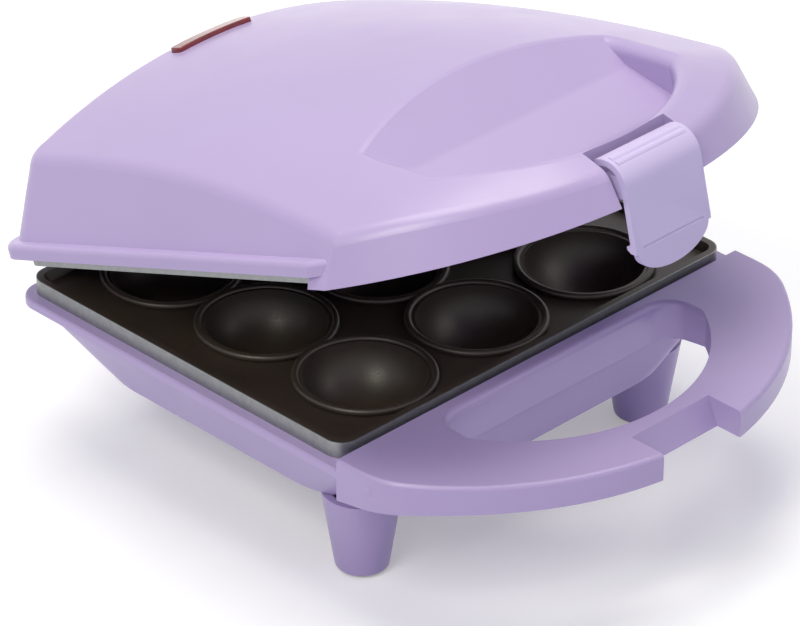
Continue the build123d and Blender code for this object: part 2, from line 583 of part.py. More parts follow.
# ---------------------------------------------------------------- upper housing, drawn shut
LID_HALF = FLANGE_X + LID_LIP_OVER
LID_REAR = REAR + LID_LIP_OVER
LID_FRONT = DECK_BACK - LID_FRONT_REACH
LID_SIDE_Z = PARTING_Z + LID_SIDE_UP
LID_FRONT_Z = PARTING_Z + LID_FRONT_UP
CROWN = (CUPS_Y + DOME_BEHIND, PARTING_Z + DOME_TOP - DOME_RY)  # middle of the top's long bow, in Y and Z
NOSE_TURN = asin((CROWN[0] - DECK_BACK + NOSE_START) / DOME_RY)  # slope where the nose starts
NOSE_RISE = DOME_RY - NOSE_R
NOSE = (CROWN[0] - NOSE_RISE * sin(NOSE_TURN), CROWN[1] + NOSE_RISE * cos(NOSE_TURN))
CROWN_SWEEP = degrees(NOSE_TURN + asin((LID_REAR - CROWN[0] + DOME_TOP) / DOME_RY))
NOSE_SWEEP = degrees(asin((DECK_BACK - NOSE_START - LID_FRONT + DOME_TOP / 2) / NOSE_R))


def lid_form(wall, bottom_z):
    """The lid's outer form, or its cavity when drawn in by a wall."""
    top_z = bottom_z + LID_LOFT_H
    body_half, body_rear = LID_HALF - LID_WALL_IN - wall, LID_REAR - LID_WALL_IN - wall
    body_front = LID_FRONT + wall
    reach = DOME_RY - wall
    join = (0, CROWN[0] - reach * sin(NOSE_TURN), CROWN[1] + reach * cos(NOSE_TURN))
    with BuildPart() as dome:
        with BuildSketch(Plane(join, x_dir=(1, 0, 0), z_dir=(0, -cos(NOSE_TURN), -sin(NOSE_TURN)))) as bowed:
            with Locations((0, wall - DOME_RX)):
                Circle(DOME_RX - wall)
            Rectangle(2 * (LID_HALF + OVERRUN), 2 * DOME_TOP, mode=Mode.INTERSECT)
        revolve(bowed.sketch, axis=Axis((0, *NOSE), (1, 0, 0)), revolution_arc=NOSE_SWEEP)
        revolve(bowed.sketch, axis=Axis((0, *CROWN), (-1, 0, 0)), revolution_arc=CROWN_SWEEP)
    with BuildPart() as form:
        low = bow(Plane.XY.offset(bottom_z), body_half, body_rear, body_front, FLANGE_CORNER)
        high = bow(Plane.XY.offset(top_z), body_half - LID_LEAN_SIDE, body_rear - LID_LEAN_REAR,
                   body_front + LID_LEAN_FRONT, FLANGE_CORNER, BOW_R - LID_LEAN_FRONT, BOW_BLEND)
        loft([low, high], ruled=True)
        add(dome.part, mode=Mode.INTERSECT)
    return form.part


def recess_form(grow):
    """The finger recess through the lid's handle: a D in plan with a sloping back."""
    top, fold, foot = DECK_BACK + RECESS_TOP, DECK_BACK - RECESS_FOLD, DECK_BACK - RECESS_FOOT
    back = top + RECESS_BACK
    rise = (RECESS_TOP + RECESS_FOLD) / (RECESS_TOP_UP - RECESS_FOLD_UP)
    slope_end = fold + (DOME_TOP - RECESS_FOLD_UP) * rise
    outline = d_opening(Plane.XY.offset(LEG_H), OPENING_HALF, back, OPENING_BACK - LID_OPENING_REACH,
                        OPENING_R, RECESS_CORNER_R, OPENING_SIDE_R, grow)
    with BuildPart() as form:
        extrude(outline, FAR)
        with BuildSketch(Plane.YZ) as slope:
            with BuildLine():
                Polyline(
                    (DECK_BACK - FAR, LEG_H), (foot + grow, LEG_H),
                    (foot + grow, PARTING_Z + RECESS_FOOT_UP - grow),
                    (fold + grow, PARTING_Z + RECESS_FOLD_UP - grow),
                    (slope_end + grow, PARTING_Z + DOME_TOP - grow),
                    (DECK_BACK - FAR, PARTING_Z + DOME_TOP - grow), close=True,
                )
            make_face()
            levels = slope.vertices().group_by(Axis.Y)  # the sketch's own Y is the part's Z
            fillet(levels[1] + levels[2], RECESS_R)
        extrude(amount=FAR, both=True, mode=Mode.INTERSECT)
    return form.part


PLATE_TOP = 2 * PARTING_Z - PLATE_Z  # back face of the upper plate
PAN_TOP = 2 * PARTING_Z - PAN_Z
LATCH_PIN = (LID_FRONT + LATCH_PIN_IN, PARTING_Z + LATCH_PIN_UP)
POCKET_HALF = LATCH_W / 2 + LATCH_SIDE_GAP
LATCH_PIN_L = 2 * (POCKET_HALF + LATCH_PIN_SET)
LENS_Y = CUPS_Y + LENS_BEHIND
LAMP_SPOT = (0, LENS_Y, PARTING_Z + DOME_TOP - (LENS_Y - CROWN[0]) ** 2 / (2 * DOME_RY) - LAMP_DROP)

with BuildSketch(Plane((0, LENS_Y, PARTING_Z + DOME_TOP / 2))) as window:
    Rectangle(LENS_L, LENS_W)
    fillet(window.vertices(), LENS_CORNER)

with BuildPart() as cavity:
    add(lid_form(SHELL, LID_FRONT_Z))
    with BuildSketch(Plane((0, DECK_BACK + SHELL, PLATE_TOP + FLANGE_T))):
        Rectangle(FAR, FAR, align=(Align.CENTER, Align.MIN))
    extrude(amount=FAR, mode=Mode.INTERSECT)
    add(recess_form(SHELL), mode=Mode.SUBTRACT)

with BuildPart() as lid_posts:
    with Locations(*[(x, CUPS_Y + y, PAN_TOP + SEAT) for x, y in SCREW_SPOTS]):
        Cylinder(POST_R, DOME_TOP, align=(Align.CENTER, Align.CENTER, Align.MIN))
        Cylinder(SCREW_HEAD_R + SCREW_CLEAR, 2 * (SCREW_HEAD_T + OVERRUN), mode=Mode.SUBTRACT)
    add(lid_form(SHELL / 2, LID_FRONT_Z), mode=Mode.INTERSECT)

with BuildPart() as lip:
    lip_front = LID_FRONT + LID_LIP_FADE
    extrude(bow(Plane.XY.offset(LID_SIDE_Z), LID_HALF, LID_REAR, lip_front, FLANGE_CORNER), LID_LIP_T)
    fillet(lip.edges().group_by(Axis.Z)[-1], LID_LIP_R)

with BuildPart() as upper_housing:
    add(lid_form(0, LID_FRONT_Z))
    tops = upper_housing.faces().filter_by(lambda f: f.normal_at().Z > TOP_FACING)
    crest = [e for e in tops.edges() if sum(e in f.edges() for f in tops) == 1]
    fillet(crest, CREST_R)
    add(lip.part)
    with BuildSketch(Plane((0, DECK_BACK, LID_FRONT_Z - OVERRUN))):
        Rectangle(FAR, FAR, align=(Align.CENTER, Align.MIN))
    extrude(amount=LID_SIDE_Z - LID_FRONT_Z + OVERRUN, mode=Mode.SUBTRACT)
    skin = upper_housing.faces()
    add(recess_form(0), mode=Mode.SUBTRACT)
    upper = [e for e in upper_housing.edges(Select.NEW) if (e @ 0.5).Z > PARTING_Z + RECESS_FOOT_UP]
    fillet([e for e in upper if min(f.distance_to(Vertex(*(e @ 0.5))) for f in skin) < ON_SKIN], RECESS_RIM_R)
    # inside: room for the plate, its ledge and the cavity above it
    with BuildSketch(Plane((0, CUPS_Y, LID_FRONT_Z - OVERRUN))) as seat:
        Rectangle(2 * (PLATE_X + PLATE_CLEAR), 2 * (PLATE_Y + PLATE_CLEAR))
        fillet(seat.vertices(), PLATE_CORNER + PLATE_CLEAR)
    extrude(amount=PLATE_TOP - LID_FRONT_Z + OVERRUN, mode=Mode.SUBTRACT)
    with BuildSketch(Plane((0, CUPS_Y, LID_FRONT_Z))) as ledge:
        Rectangle(2 * (PLATE_X - LEDGE), 2 * (PLATE_Y - LEDGE))
        fillet(ledge.vertices(), PLATE_CORNER)
    extrude(amount=PLATE_TOP + FLANGE_T - LID_FRONT_Z, mode=Mode.SUBTRACT)
    add(cavity.part, mode=Mode.SUBTRACT)
    add(lid_posts.part)
    with BuildSketch(Plane.YZ) as knuckle:
        with BuildLine():
            low, high = (HINGE_Y - KNUCKLE_R, PARTING_Z), (HINGE_Y, PARTING_Z + KNUCKLE_R)
            ThreePointArc(low, (HINGE_Y, PARTING_Z - KNUCKLE_R), (HINGE_Y + KNUCKLE_R, PARTING_Z))
            RadiusArc((HINGE_Y + KNUCKLE_R, PARTING_Z), high, -KNUCKLE_R)
            Polyline(high, (LID_REAR - SHELL, LID_SIDE_Z + 2 * KNUCKLE_R), (LID_REAR - SHELL, LID_SIDE_Z),
                     (LID_REAR - SHELL / 2, LID_SIDE_Z), low)
        make_face()
    for side in (-1, 1):
        extrude(knuckle.sketch.moved(Location((side * KNUCKLE_X - KNUCKLE_W / 2, 0, 0))), KNUCKLE_W)
    with Locations(Plane((0, HINGE_Y, PARTING_Z), z_dir=(1, 0, 0))):
        Cylinder(PIN_R + RUN_CLEAR, FAR, mode=Mode.SUBTRACT)
    # the latch's pocket and pin, and the indicator's window
    with Locations((0, LID_FRONT - OVERRUN, PARTING_Z)):
        Box(2 * POCKET_HALF, POCKET_IN + OVERRUN, FAR, align=(Align.CENTER, Align.MIN, Align.CENTER),
            mode=Mode.SUBTRACT)
    with Locations(Plane((0, *LATCH_PIN), z_dir=(1, 0, 0))):
        Cylinder(LATCH_PIN_R + SET_CLEAR, LATCH_PIN_L + OVERRUN, mode=Mode.SUBTRACT)
    extrude(window.sketch, DOME_TOP, mode=Mode.SUBTRACT)

with BuildPart() as lens:
    add(lid_form(-LENS_PROUD, LID_FRONT_Z))
    add(lid_form(SHELL, LID_FRONT_Z), mode=Mode.SUBTRACT)
    extrude(offset(window.sketch, -LENS_CLEAR), DOME_TOP, mode=Mode.INTERSECT)
    fillet(lens.faces().sort_by(Axis.Z)[-1].edges(), LENS_PROUD / 2)

with BuildPart() as lamp:
    with Locations(Plane(LAMP_SPOT, z_dir=(1, 0, 0))):
        Cylinder(LAMP_R, LAMP_L)
    fillet(lamp.edges().filter_by(GeomType.CIRCLE), LAMP_R / 2)

with BuildPart() as lamp_holder:
    with Locations((LAMP_SPOT[0], LAMP_SPOT[1], LAMP_SPOT[2] - LAMP_R - SHELL)):
        Box(HOLDER_L, HOLDER_W, DOME_TOP, align=(Align.CENTER, Align.CENTER, Align.MIN))
    add(lid_form(SHELL + SEAT, LID_FRONT_Z), mode=Mode.INTERSECT)
    with Locations(Plane(LAMP_SPOT, z_dir=(1, 0, 0))):
        Cylinder(LAMP_R + SET_CLEAR, HOLDER_L + OVERRUN, mode=Mode.SUBTRACT)
    with Locations(LAMP_SPOT):
        Box(HOLDER_L + OVERRUN, 2 * (LAMP_R + SET_CLEAR), DOME_TOP,
            align=(Align.CENTER, Align.CENTER, Align.MIN), mode=Mode.SUBTRACT)

# ---------------------------------------------------------------- the lid's plate and heating parts
SHUT = Plane.XY.offset(PARTING_Z)
with BuildPart() as upper_plate:
    mirror(lower_plate.part, about=SHUT)
with BuildPart() as upper_element:
    mirror(element.part, about=SHUT)
with BuildPart() as upper_clips:
    mirror(clips.part, about=SHUT)
with BuildPart() as upper_reflector:
    mirror(reflector.part, about=SHUT)
with BuildPart() as upper_screws:
    with Locations(*[(x, CUPS_Y + y, PAN_TOP) for x, y in SCREW_SPOTS]):
        Cylinder(SCREW_HEAD_R, SCREW_HEAD_T, align=(Align.CENTER, Align.CENTER, Align.MIN))
        Cylinder(SCREW_R, PAN_TOP - PLATE_TOP - 2 * PLATE_WALL, align=(Align.CENTER, Align.CENTER, Align.MAX))

HIGH_Z = 2 * PARTING_Z - ELEMENT_Z
LEAD_X = TAIL_X - WIRE_STUB
with BuildPart() as upper_wiring:
    for side in (-1, 1):
        add(wire(
            (side * LAMP_L / 2, LAMP_SPOT[1], LAMP_SPOT[2]), (side * LEAD_X, LAMP_SPOT[1], LAMP_SPOT[2]),
            (side * LEAD_X, END_Y, HIGH_Z + WIRE_STUB), (side * LEAD_X, END_Y, HIGH_Z),
            (side * TAIL_X, END_Y, HIGH_Z),
        ))

# ---------------------------------------------------------------- latch
LATCH_PLANE = Plane((0, *LATCH_PIN), x_dir=(0, 1, 0), z_dir=(1, 0, 0))
LATCH_FOOT = LATCH_HOOK_DOWN + LATCH_WALL
with BuildPart() as latch:
    with BuildSketch(LATCH_PLANE) as profile:
        with BuildLine():
            inner_r = LATCH_R - LATCH_WALL
            lean = radians(LATCH_BACK)
            mid = radians(90 - LATCH_BACK) / 2
            tail = (LATCH_R * sin(lean), LATCH_R * cos(lean))
            inner_tail = (inner_r * sin(lean), inner_r * cos(lean))
            ThreePointArc(tail, (-LATCH_R * sin(mid), LATCH_R * cos(mid)), (-LATCH_R, 0))
            Polyline((-LATCH_R, 0), (-LATCH_R, -LATCH_FOOT), (-inner_r, -LATCH_FOOT),
                     (LATCH_HOOK - inner_r, -LATCH_HOOK_DOWN - LATCH_WALL / 2),
                     (LATCH_HOOK - inner_r, -LATCH_HOOK_DOWN), (-inner_r, -LATCH_HOOK_DOWN), (-inner_r, 0))
            ThreePointArc((-inner_r, 0), (-inner_r * sin(mid), inner_r * cos(mid)), inner_tail)
            Line(inner_tail, tail)
        make_face()
    extrude(amount=LATCH_W / 2, both=True)
    tongue = (0, LATCH_PIN[0] - LATCH_R, LATCH_PIN[1] - LATCH_FOOT)
    with BuildSketch(Plane(tongue, z_dir=(0, 1, 0), x_dir=(1, 0, 0))):
        Ellipse(LATCH_W / 2 - LATCH_WALL / 2, LATCH_TONGUE)
    extrude(amount=LATCH_WALL)
    for side in (-1, 1):
        with BuildSketch(LATCH_PLANE.offset(side * (LATCH_W / 2 - LATCH_WALL) - LATCH_EAR_W / 2)):
            Circle(LATCH_PIN_R + LATCH_WALL)
            Rectangle(LATCH_R - LATCH_WALL / 2, 2 * (LATCH_PIN_R + LATCH_WALL), align=(Align.MAX, Align.CENTER))
        extrude(amount=LATCH_EAR_W)
    with Locations(Plane((0, *LATCH_PIN), z_dir=(1, 0, 0))):
        Cylinder(LATCH_PIN_R + RUN_CLEAR, FAR, mode=Mode.SUBTRACT)

with BuildPart() as latch_pin:
    with Locations(Plane((0, *LATCH_PIN), z_dir=(1, 0, 0))):
        Cylinder(LATCH_PIN_R, LATCH_PIN_L)

# ---------------------------------------------------------------- the lid stands open
LATCH_AXIS = Axis((0, *LATCH_PIN), (1, 0, 0))
LID_PIECES = {
    "upper_housing": upper_housing.part,
    "upper_plate": upper_plate.part,
    "upper_heating_element": upper_element.part,
    "upper_element_clips": upper_clips.part,
    "upper_reflector": upper_reflector.part,
    "upper_plate_screws": upper_screws.part,
    "indicator_lens": lens.part,
    "neon_lamp": lamp.part,
    "lamp_holder": lamp_holder.part,
    "upper_wiring": upper_wiring.part,
    "latch_pin": latch_pin.part,
    "latch": latch.part.rotate(LATCH_AXIS, LATCH_REST),
}
for name, piece in LID_PIECES.items():
    opened = piece.rotate(HINGE, -LID_OPEN)
    opened.label = name
    export_step(opened, f"parts/{name}.step")
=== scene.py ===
"""Cake pop maker: the looks, the stage and the camera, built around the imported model."""

import json
import math

import bpy
from mathutils import Matrix, Vector

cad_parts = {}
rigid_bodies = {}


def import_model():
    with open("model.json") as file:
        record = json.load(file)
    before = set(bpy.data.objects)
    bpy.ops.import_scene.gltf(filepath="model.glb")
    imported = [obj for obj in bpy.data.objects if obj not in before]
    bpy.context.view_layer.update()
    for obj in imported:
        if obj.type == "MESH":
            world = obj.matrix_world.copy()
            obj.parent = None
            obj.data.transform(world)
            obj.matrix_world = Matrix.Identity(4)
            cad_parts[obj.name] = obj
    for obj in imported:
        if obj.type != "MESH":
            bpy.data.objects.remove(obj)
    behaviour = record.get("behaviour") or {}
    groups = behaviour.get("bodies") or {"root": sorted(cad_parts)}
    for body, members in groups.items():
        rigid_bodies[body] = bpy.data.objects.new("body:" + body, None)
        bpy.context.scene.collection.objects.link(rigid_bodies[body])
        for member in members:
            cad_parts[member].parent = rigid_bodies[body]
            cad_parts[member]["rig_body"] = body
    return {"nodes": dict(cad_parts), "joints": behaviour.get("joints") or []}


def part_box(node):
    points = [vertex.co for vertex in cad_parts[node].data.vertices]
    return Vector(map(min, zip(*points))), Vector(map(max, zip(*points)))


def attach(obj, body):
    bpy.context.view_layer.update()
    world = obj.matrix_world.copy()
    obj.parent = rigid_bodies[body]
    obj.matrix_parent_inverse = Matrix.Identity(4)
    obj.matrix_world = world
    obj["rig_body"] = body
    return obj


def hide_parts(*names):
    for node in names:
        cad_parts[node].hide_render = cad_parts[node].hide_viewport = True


bl_info = {
    "name": "Cake pop maker",
    "version": (1, 0, 0),
    "blender": (4, 5, 0),
    "location": "3D View > Sidebar > Cake pop maker",
    "description": "Finishes the cake pop maker's plastic, plates and fittings, and sets it on a stage",
    "category": "Object",
}

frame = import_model()
NODES = frame["nodes"]
JOINTS = {j["name"]: j for j in frame["joints"]}

MM = 0.001
WELD = 0.000001  # vertices nearer to one another than this are one
FLAT = math.radians(0.5)  # faces that turn by less than this are one
SHARP = math.radians(30)  # edges that turn by more than this are rounded
QUARTER = math.pi / 2

# the lid and the plates
HINGE = Vector(JOINTS["lid_hinge"]["pos_m"])
LID_ANGLE = math.radians(20.3)  # how far the lid stands open at rest
PLATE_CORNER = 6 * MM
COAT_END = (0.5 * MM, 0.2 * MM)  # the coat fades out between these depths in from the plate's side
DEEP = 10  # taller than any plate
BARE_ROUGH = 0.5
WINDOW_EDGE = 0.45 * MM

# plastic, and the height of the fine relief on each finish
PLASTIC_IOR = 1.49
PLASTIC_GRAIN = 0.012 * MM
METAL_GRAIN = 0.03 * MM
COAT_GRAIN = 0.06 * MM

# the latch, upright and with its pin at the origin
LATCH_PIN = Vector(JOINTS["latch_pivot"]["pos_m"])
LATCH_LEAN = math.radians(-13.8)  # the latch's face at rest, from upright
LATCH_R = 8.3 * MM  # from the pin to the latch's face
LATCH_HALF = 15.75 * MM  # half its width
LATCH_EDGE = 0.6 * MM
LATCH_CREASE = 18.9 * MM  # from the pin down to the crease over its tongue
GROOVE_R = 0.5 * MM
GROOVE_OUT = GROOVE_R / 3  # from the latch's face to the groove's middle
GROOVE_MARGIN = 3 * MM  # from the groove's ends to the latch's sides
LATCH_RIBS = (58, 74)  # degrees over the latch's top, from its face
RIB_R = 1.5 * MM
RIB_SUNK = 1.15 * MM

# the camera
CAMERA_AT = Vector((-0.9299, -0.9263, 0.8368))
CAMERA_RIGHT = Vector((0.7122, -0.7020, 0.0))
CAMERA_UP = Vector((0.3608, 0.3661, 0.8578))
CAMERA_FORWARD = Vector((0.6022, 0.6109, -0.5140))
CAMERA_SIGHT = 40  # metres
LENS_MM = 225.0
SENSOR_MM = 36.0

# the stage, with warm lamps and a cool room, so that shade on the plastic turns violet
OBJECT_MIDDLE = Vector((0, 0, 0.05))
LAMP_TINT = (1.0, 0.98, 0.82)
ROOM_TINT = (0.8, 0.75, 1.6)
WHITE = (1, 1, 1)
FLOOR_TONES = ((0.76, 0.775, 0.82), (0.79, 0.805, 0.85))
FLOOR_ROUGH = 0.8
GLOW_TINT = (1.0, 1.0, 0.86)
GLOW_NEAR, GLOW_FAR = 0.29, 1.0  # the floor's own light, near the piece and far from it
NEAR, FAR_OFF = 0.2, 1.3  # metres from the piece
LAMPS = {  # the side of each lamp and its place, in metres
    "key": (0.7, (-1.2, -0.4, 1.3)),
    "top": (1.2, (0.1, 0.3, 1.7)),
    "fill": (0.8, (0.8, -1.1, 1.0)),
}


# ------------------------------------------------------------------ sizes and colours a user would change
def colour_of(red, green, blue):
    """A colour of the screen, 0 to 255, as the linear one that Blender keeps."""

    def linear(v):
        v /= 255
        return v / 12.92 if v <= 0.04045 else ((v + 0.055) / 1.055) ** 2.4

    return (linear(red), linear(green), linear(blue))


LAMP_GLASS = colour_of(235, 150, 110)
HOLDER_WHITE = colour_of(225, 222, 214)
SHEATH_GREY = colour_of(120, 112, 104)
STEEL_GREY = colour_of(176, 176, 178)
RUBBER_BLACK = colour_of(58, 56, 60)
SLEEVE_CREAM = colour_of(222, 218, 206)


class CakePopFinish(bpy.types.PropertyGroup):
    """Colours and finishes"""

    plastic: bpy.props.FloatVectorProperty(
        name="Plastic", description="Colour of the housings, the lid and the latch", subtype="COLOR",
        size=3, min=0, max=1, default=colour_of(180, 163, 206))
    plastic_rough: bpy.props.FloatProperty(
        name="Plastic roughness", description="How dull the plastic is", subtype="FACTOR",
        min=0, max=1, default=0.34)
    nonstick: bpy.props.FloatVectorProperty(
        name="Non-stick coat", description="Colour of the coat on the baking plates", subtype="COLOR",
        size=3, min=0, max=1, default=colour_of(60, 51, 44))
    aluminium: bpy.props.FloatVectorProperty(
        name="Bare aluminium", description="Colour of the plates' sides and of the reflectors",
        subtype="COLOR", size=3, min=0, max=1, default=colour_of(146, 148, 150))
    tongue_stretch: bpy.props.FloatProperty(
        name="Tongue length", description="Length of the latch's tongue, against that of the solid",
        min=0.8, max=1.6, default=1.45)
    tongue_bend: bpy.props.FloatProperty(
        name="Tongue bend", description="How far the tongue bends, outwards above zero", subtype="ANGLE",
        min=-0.3, max=0.3, default=math.radians(-8))
    window_proud: bpy.props.FloatProperty(
        name="Window height", description="How much further the red window stands out than its solid",
        subtype="DISTANCE", unit="LENGTH", min=0, max=0.002, default=0.0008)
    window: bpy.props.FloatVectorProperty(
        name="Window", description="Colour of the indicator's window", subtype="COLOR",
        size=3, min=0, max=1, default=colour_of(140, 16, 30))


class CakePopStage(bpy.types.PropertyGroup):
    """The stage"""

    key_power: bpy.props.FloatProperty(
        name="Key lamp", description="Power of the lamp over the front left", subtype="POWER",
        min=0, default=13.0)
    top_power: bpy.props.FloatProperty(
        name="Top lamp", description="Power of the large lamp overhead", subtype="POWER",
        min=0, default=23.0)
    fill_power: bpy.props.FloatProperty(
        name="Fill lamp", description="Power of the weak lamp on the front right", subtype="POWER",
        min=0, default=2.2)
    world: bpy.props.FloatProperty(
        name="Room light", description="Strength of the light from all round", min=0, default=0.18)
    floor_size: bpy.props.FloatProperty(
        name="Floor", description="Side of the floor", subtype="DISTANCE", unit="LENGTH",
        min=1, default=24.0)


# ------------------------------------------------------------------ helpers
def let_go():
    """Nothing stays selected."""
    if bpy.context.object and bpy.context.object.mode != "OBJECT":
        bpy.ops.object.mode_set(mode="OBJECT")
    bpy.ops.object.select_all(action="DESELECT")


def hold(piece):
    """Only this piece is selected, and it is the active one."""
    let_go()
    bpy.context.view_layer.objects.active = piece
    piece.select_set(True)


def new_material(name):
    """A material with a Principled shader: the material, its nodes, a link maker and the shader."""
    material = bpy.data.materials.new(name)
    material.use_nodes = True
    tree = material.node_tree
    return material, tree.nodes, tree.links.new, tree.nodes["Principled BSDF"]


def feed(link, socket, value):
    """The socket takes what another node puts out, or a constant."""
    if isinstance(value, bpy.types.NodeSocket):
        link(value, socket)
    else:
        socket.default_value = value


def place(nodes, link, turn=None, about=None):
    """Object coordinates in metres, or the same turned about a point."""
    here = nodes.new("ShaderNodeTexCoord")
    if turn is None:
        return here.outputs["Object"]
    mapping = nodes.new("ShaderNodeMapping")
    mapping.vector_type = "POINT"
    back = Matrix.Rotation(turn, 3, "X")
    mapping.inputs["Rotation"].default_value = (turn, 0, 0)
    mapping.inputs["Location"].default_value = about - back @ about
    link(here.outputs["Object"], mapping.inputs["Vector"])
    return mapping.outputs["Vector"]


def noise(nodes, link, at, scale, detail=2.0, rough=0.5):
    """Noise, finer with a larger scale."""
    n = nodes.new("ShaderNodeTexNoise")
    n.inputs["Scale"].default_value = scale
    n.inputs["Detail"].default_value = detail
    n.inputs["Roughness"].default_value = rough
    link(at, n.inputs["Vector"])
    return n.outputs["Fac"]


def spread(nodes, link, value, low, high, start=0.3, end=0.7):
    """value from start..end brought to low..high."""
    r = nodes.new("ShaderNodeMapRange")
    for name, v in (("From Min", start), ("From Max", end), ("To Min", low), ("To Max", high)):
        r.inputs[name].default_value = v
    link(value, r.inputs["Value"])
    return r.outputs["Result"]


def mixed(nodes, link, factor, first, second, kind="FLOAT"):
    """first where the factor is 0 and second where it is 1."""
    mix = nodes.new("ShaderNodeMix")
    mix.data_type = kind
    link(factor, mix.inputs["Factor"])
    feed(link, mix.inputs["A"], first)
    feed(link, mix.inputs["B"], second)
    return mix.outputs["Result"]


def between(nodes, link, factor, first, second):
    """A colour between two colours."""
    return mixed(nodes, link, factor, (*first, 1), (*second, 1), "RGBA")


def combine(nodes, link, kind, operation, first, second=None):
    """What a math node of that kind, Math or VectorMath, puts out."""
    n = nodes.new("ShaderNode" + kind)
    n.operation = operation
    feed(link, n.inputs[0], first)
    if second is not None:
        feed(link, n.inputs[1], second)
    return n.outputs["Value" if operation == "LENGTH" else 0]


def seen_itself(nodes, link):
    """1 for what the camera, a mirror or clear plastic shows, and 0 for the light that falls on things."""
    rays = nodes.new("ShaderNodeLightPath")
    through = combine(nodes, link, "Math", "MAXIMUM",
                      rays.outputs["Is Glossy Ray"], rays.outputs["Is Transmission Ray"])
    return combine(nodes, link, "Math", "MAXIMUM", rays.outputs["Is Camera Ray"], through)


def bumps(nodes, link, shader, height, distance, strength):
    """Small relief on the surface."""
    b = nodes.new("ShaderNodeBump")
    b.inputs["Distance"].default_value = distance
    b.inputs["Strength"].default_value = strength
    link(height, b.inputs["Height"])
    link(b.outputs["Normal"], shader.inputs["Normal"])


def shade(colour, factor):
    """A lighter or darker tone."""
    return tuple(min(1.0, c * factor) for c in colour)


# ------------------------------------------------------------------ materials
def moulded_plastic(name, colour, rough, grain=PLASTIC_GRAIN, coat=0.12):
    """Satin moulded plastic: a faint cloudiness, a shallow orange peel and uneven gloss."""
    material, nodes, link, shader = new_material(name)
    at = place(nodes, link)
    clouds = spread(nodes, link, noise(nodes, link, at, scale=14, detail=3), 0, 1)
    link(between(nodes, link, clouds, shade(colour, 0.97), shade(colour, 1.03)),
         shader.inputs["Base Color"])
    gloss = noise(nodes, link, at, scale=60, detail=4)
    link(spread(nodes, link, gloss, rough - 0.03, rough + 0.05), shader.inputs["Roughness"])
    bumps(nodes, link, shader, noise(nodes, link, at, scale=420), grain, strength=0.25)
    shader.inputs["IOR"].default_value = PLASTIC_IOR
    shader.inputs["Coat Weight"].default_value = coat
    shader.inputs["Coat Roughness"].default_value = 0.12
    return material


def plain_metal(name, colour, rough, stretch=(1, 1, 1)):
    """Bare metal with drawn or rolled streaks."""
    material, nodes, link, shader = new_material(name)
    at = place(nodes, link)
    mapping = nodes.new("ShaderNodeMapping")
    mapping.inputs["Scale"].default_value = stretch
    link(at, mapping.inputs["Vector"])
    streaks = noise(nodes, link, mapping.outputs["Vector"], scale=240, detail=4, rough=0.65)
    tones = spread(nodes, link, streaks, 0, 1)
    link(between(nodes, link, tones, shade(colour, 0.86), shade(colour, 1.08)), shader.inputs["Base Color"])
    link(spread(nodes, link, streaks, rough - 0.08, rough + 0.1), shader.inputs["Roughness"])
    bumps(nodes, link, shader, streaks, METAL_GRAIN, strength=0.6)
    shader.inputs["Metallic"].default_value = 1.0
    return material


def tinted_window(name, colour):
    """Clear tinted plastic, a little cloudy and unevenly smooth."""
    material, nodes, link, shader = new_material(name)
    at = place(nodes, link)
    clouds = spread(nodes, link, noise(nodes, link, at, scale=120, detail=3), 0, 1)
    link(between(nodes, link, clouds, shade(colour, 0.7), shade(colour, 1.15)), shader.inputs["Base Color"])
    link(spread(nodes, link, noise(nodes, link, at, scale=700), 0.1, 0.2), shader.inputs["Roughness"])
    shader.inputs["Transmission Weight"].default_value = 0.25
    shader.inputs["IOR"].default_value = PLASTIC_IOR
    shader.inputs["Coat Weight"].default_value = 0.4
    return material


def plate_coat(name, coat, bare, half, middle, turn=None):
    """Dark non-stick coat, with a fine pebble in it, and bare cast metal down the plate's side."""
    material, nodes, link, shader = new_material(name)
    at = place(nodes, link, turn, HINGE)
    # how far a point is out of the plate's rounded outline, below zero inside
    out = combine(nodes, link, "VectorMath", "ABSOLUTE",
                  combine(nodes, link, "VectorMath", "SUBTRACT", at, middle))
    out = combine(nodes, link, "VectorMath", "SUBTRACT", out,
                  (half[0] - PLATE_CORNER, half[1] - PLATE_CORNER, DEEP))
    out = combine(nodes, link, "VectorMath", "MAXIMUM", out, (0, 0, 0))
    out = combine(nodes, link, "VectorMath", "LENGTH", out)
    side = spread(nodes, link, out, 0, 1, PLATE_CORNER - COAT_END[0], PLATE_CORNER - COAT_END[1])

    pebble = noise(nodes, link, at, scale=1500, detail=3, rough=0.6)
    clouds = spread(nodes, link, noise(nodes, link, at, scale=35, detail=4), 0, 1)
    dark = between(nodes, link, clouds, shade(coat, 0.85), shade(coat, 1.2))
    grain = spread(nodes, link, noise(nodes, link, at, scale=400, detail=4, rough=0.7), 0, 1)
    metal = between(nodes, link, grain, shade(bare, 0.85), shade(bare, 1.05))
    link(mixed(nodes, link, side, dark, metal, "RGBA"), shader.inputs["Base Color"])
    link(side, shader.inputs["Metallic"])
    dull = spread(nodes, link, pebble, 0.34, 0.46)
    link(mixed(nodes, link, side, dull, BARE_ROUGH), shader.inputs["Roughness"])
    bumps(nodes, link, shader, pebble, COAT_GRAIN, strength=0.4)
    return material


def finish_node(node, material):
    """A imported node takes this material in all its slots."""
    o = NODES[node]
    if not o.material_slots:
        o.data.materials.append(material)
    for s in o.material_slots:
        s.material = material


